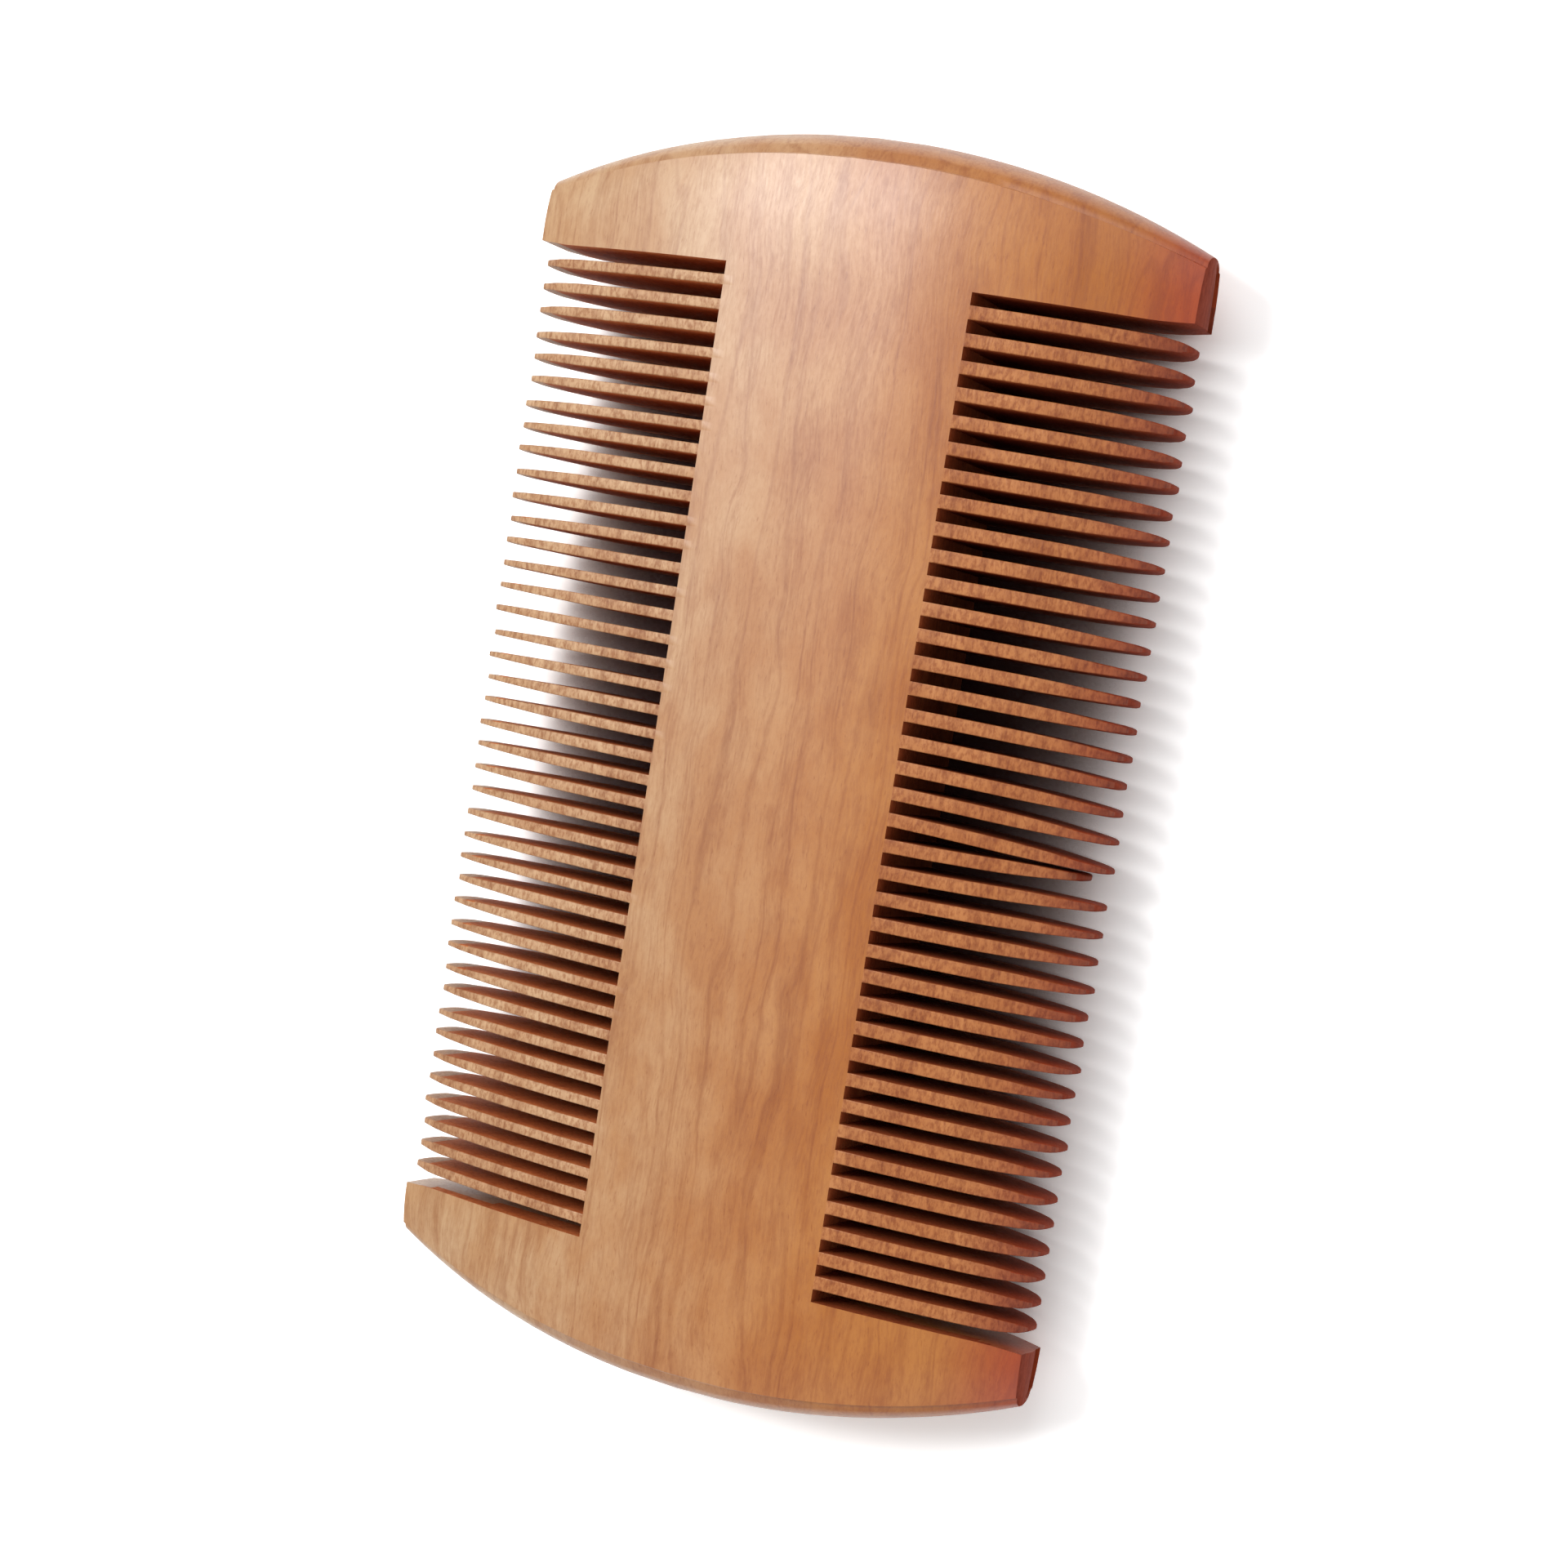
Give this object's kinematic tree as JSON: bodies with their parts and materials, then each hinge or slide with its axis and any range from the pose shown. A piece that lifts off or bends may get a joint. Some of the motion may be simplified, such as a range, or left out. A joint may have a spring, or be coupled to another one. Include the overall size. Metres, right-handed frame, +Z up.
{
  "type": "beard comb",
  "caption": "Double-sided wooden beard comb: fine teeth along one long side, coarse teeth along the other, a thick lens-shaped spine and a bowed solid guard at each end.",
  "frame": {"origin": "under the middle of the board, on the surface that its back lies on", "axes": "+Z up out of the front face, +Y along the board to the upper guard, +X towards the coarse teeth and -X towards the fine teeth"},
  "size_m": [0.0556, 0.1, 0.0115],
  "materials": {
    "comb_wood": "satin"
  },
  "bodies": {
    "root": {"spine": "comb_wood", "guard_upper": "comb_wood", "guard_lower": "comb_wood", "fine_teeth_1": "comb_wood", "fine_teeth_2": "comb_wood", "fine_teeth_3": "comb_wood", "fine_teeth_4": "comb_wood", "coarse_teeth_1": "comb_wood", "coarse_teeth_2": "comb_wood", "coarse_teeth_3": "comb_wood", "coarse_teeth_4": "comb_wood"}
  },
  "joints": []
}
